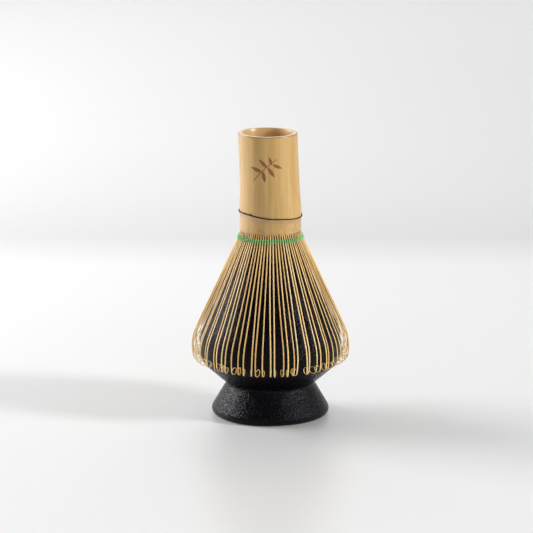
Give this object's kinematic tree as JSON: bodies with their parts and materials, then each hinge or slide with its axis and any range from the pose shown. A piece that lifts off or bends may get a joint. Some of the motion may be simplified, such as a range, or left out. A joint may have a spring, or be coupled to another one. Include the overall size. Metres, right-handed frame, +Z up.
{
  "type": "bamboo tea whisk on a whisk holder",
  "caption": "Bamboo matcha whisk with split, curled tines bound by green thread, resting over a dark glazed stoneware holder that keeps its tines spread.",
  "frame": {"origin": "centre of the holder's foot, on the surface it stands on", "axes": "+Z up along the handle; -Y is the front; the whisk and holder are round about Z"},
  "size_m": [0.0706, 0.0706, 0.1262],
  "materials": {
    "bamboo_skin": "satin",
    "bamboo_pith": "matte",
    "bamboo_scar": "matte",
    "bamboo_tine": "satin",
    "bamboo_tine_inner": "satin",
    "green_thread": "twisted cotton",
    "glazed_stoneware": "satin, finely pitted"
  },
  "bodies": {
    "holder": {"holder": "glazed_stoneware"},
    "whisk": {"culm_handle": "bamboo_skin", "node_diaphragm": "bamboo_pith", "sheath_scar": "bamboo_scar", "thread_upper_round": "green_thread", "thread_lower_round": "green_thread", "thread_knot": "green_thread", "inner_tines_01": "bamboo_tine_inner", "inner_tines_02": "bamboo_tine_inner", "inner_tines_03": "bamboo_tine_inner", "inner_tines_04": "bamboo_tine_inner", "inner_tines_05": "bamboo_tine_inner", "inner_tines_06": "bamboo_tine_inner", "inner_tines_07": "bamboo_tine_inner", "inner_tines_08": "bamboo_tine_inner", "inner_tines_09": "bamboo_tine_inner", "inner_tines_10": "bamboo_tine_inner", "inner_tines_11": "bamboo_tine_inner", "inner_tines_12": "bamboo_tine_inner", "inner_tines_13": "bamboo_tine_inner", "inner_tines_14": "bamboo_tine_inner", "inner_tines_15": "bamboo_tine_inner", "inner_tines_16": "bamboo_tine_inner"},
    "tines_01": {"outer_tines_01": "bamboo_tine"},
    "tines_02": {"outer_tines_02": "bamboo_tine"},
    "tines_03": {"outer_tines_03": "bamboo_tine"},
    "tines_04": {"outer_tines_04": "bamboo_tine"},
    "tines_05": {"outer_tines_05": "bamboo_tine"},
    "tines_06": {"outer_tines_06": "bamboo_tine"},
    "tines_07": {"outer_tines_07": "bamboo_tine"},
    "tines_08": {"outer_tines_08": "bamboo_tine"},
    "tines_09": {"outer_tines_09": "bamboo_tine"},
    "tines_10": {"outer_tines_10": "bamboo_tine"},
    "tines_11": {"outer_tines_11": "bamboo_tine"},
    "tines_12": {"outer_tines_12": "bamboo_tine"},
    "tines_13": {"outer_tines_13": "bamboo_tine"},
    "tines_14": {"outer_tines_14": "bamboo_tine"},
    "tines_15": {"outer_tines_15": "bamboo_tine"},
    "tines_16": {"outer_tines_16": "bamboo_tine"}
  },
  "joints": [
    {"name": "whisk_lift", "type": "slide", "parent": "holder", "child": "whisk", "axis": [0, 0, 1], "range_m": [0, 0.055]},
    {"name": "tine_flex_01", "type": "hinge", "parent": "whisk", "child": "tines_01", "pos_m": [0, -0.0139, 0.08], "axis": [-1, 0, 0], "range_deg": [0, 5], "stiffness_Nm_per_rad": 0.02},
    {"name": "tine_flex_02", "type": "hinge", "parent": "whisk", "child": "tines_02", "pos_m": [0.00532, -0.01284, 0.08], "axis": [-0.9239, -0.3827, 0], "range_deg": [0, 5], "stiffness_Nm_per_rad": 0.02},
    {"name": "tine_flex_03", "type": "hinge", "parent": "whisk", "child": "tines_03", "pos_m": [0.00983, -0.00983, 0.08], "axis": [-0.7071, -0.7071, 0], "range_deg": [0, 5], "stiffness_Nm_per_rad": 0.02},
    {"name": "tine_flex_04", "type": "hinge", "parent": "whisk", "child": "tines_04", "pos_m": [0.01284, -0.00532, 0.08], "axis": [-0.3827, -0.9239, 0], "range_deg": [0, 5], "stiffness_Nm_per_rad": 0.02},
    {"name": "tine_flex_05", "type": "hinge", "parent": "whisk", "child": "tines_05", "pos_m": [0.0139, 0, 0.08], "axis": [0, -1, 0], "range_deg": [0, 5], "stiffness_Nm_per_rad": 0.02},
    {"name": "tine_flex_06", "type": "hinge", "parent": "whisk", "child": "tines_06", "pos_m": [0.01284, 0.00532, 0.08], "axis": [0.3827, -0.9239, 0], "range_deg": [0, 5], "stiffness_Nm_per_rad": 0.02},
    {"name": "tine_flex_07", "type": "hinge", "parent": "whisk", "child": "tines_07", "pos_m": [0.00983, 0.00983, 0.08], "axis": [0.7071, -0.7071, 0], "range_deg": [0, 5], "stiffness_Nm_per_rad": 0.02},
    {"name": "tine_flex_08", "type": "hinge", "parent": "whisk", "child": "tines_08", "pos_m": [0.00532, 0.01284, 0.08], "axis": [0.9239, -0.3827, 0], "range_deg": [0, 5], "stiffness_Nm_per_rad": 0.02},
    {"name": "tine_flex_09", "type": "hinge", "parent": "whisk", "child": "tines_09", "pos_m": [0, 0.0139, 0.08], "axis": [1, 0, 0], "range_deg": [0, 5], "stiffness_Nm_per_rad": 0.02},
    {"name": "tine_flex_10", "type": "hinge", "parent": "whisk", "child": "tines_10", "pos_m": [-0.00532, 0.01284, 0.08], "axis": [0.9239, 0.3827, 0], "range_deg": [0, 5], "stiffness_Nm_per_rad": 0.02},
    {"name": "tine_flex_11", "type": "hinge", "parent": "whisk", "child": "tines_11", "pos_m": [-0.00983, 0.00983, 0.08], "axis": [0.7071, 0.7071, 0], "range_deg": [0, 5], "stiffness_Nm_per_rad": 0.02},
    {"name": "tine_flex_12", "type": "hinge", "parent": "whisk", "child": "tines_12", "pos_m": [-0.01284, 0.00532, 0.08], "axis": [0.3827, 0.9239, 0], "range_deg": [0, 5], "stiffness_Nm_per_rad": 0.02},
    {"name": "tine_flex_13", "type": "hinge", "parent": "whisk", "child": "tines_13", "pos_m": [-0.0139, 0, 0.08], "axis": [0, 1, 0], "range_deg": [0, 5], "stiffness_Nm_per_rad": 0.02},
    {"name": "tine_flex_14", "type": "hinge", "parent": "whisk", "child": "tines_14", "pos_m": [-0.01284, -0.00532, 0.08], "axis": [-0.3827, 0.9239, 0], "range_deg": [0, 5], "stiffness_Nm_per_rad": 0.02},
    {"name": "tine_flex_15", "type": "hinge", "parent": "whisk", "child": "tines_15", "pos_m": [-0.00983, -0.00983, 0.08], "axis": [-0.7071, 0.7071, 0], "range_deg": [0, 5], "stiffness_Nm_per_rad": 0.02},
    {"name": "tine_flex_16", "type": "hinge", "parent": "whisk", "child": "tines_16", "pos_m": [-0.00532, -0.01284, 0.08], "axis": [-0.9239, 0.3827, 0], "range_deg": [0, 5], "stiffness_Nm_per_rad": 0.02}
  ],
  "couplings": [
    {"joint": "tine_flex_02", "follows": "tine_flex_01", "ratio": 1},
    {"joint": "tine_flex_03", "follows": "tine_flex_01", "ratio": 1},
    {"joint": "tine_flex_04", "follows": "tine_flex_01", "ratio": 1},
    {"joint": "tine_flex_05", "follows": "tine_flex_01", "ratio": 1},
    {"joint": "tine_flex_06", "follows": "tine_flex_01", "ratio": 1},
    {"joint": "tine_flex_07", "follows": "tine_flex_01", "ratio": 1},
    {"joint": "tine_flex_08", "follows": "tine_flex_01", "ratio": 1},
    {"joint": "tine_flex_09", "follows": "tine_flex_01", "ratio": 1},
    {"joint": "tine_flex_10", "follows": "tine_flex_01", "ratio": 1},
    {"joint": "tine_flex_11", "follows": "tine_flex_01", "ratio": 1},
    {"joint": "tine_flex_12", "follows": "tine_flex_01", "ratio": 1},
    {"joint": "tine_flex_13", "follows": "tine_flex_01", "ratio": 1},
    {"joint": "tine_flex_14", "follows": "tine_flex_01", "ratio": 1},
    {"joint": "tine_flex_15", "follows": "tine_flex_01", "ratio": 1},
    {"joint": "tine_flex_16", "follows": "tine_flex_01", "ratio": 1}
  ]
}
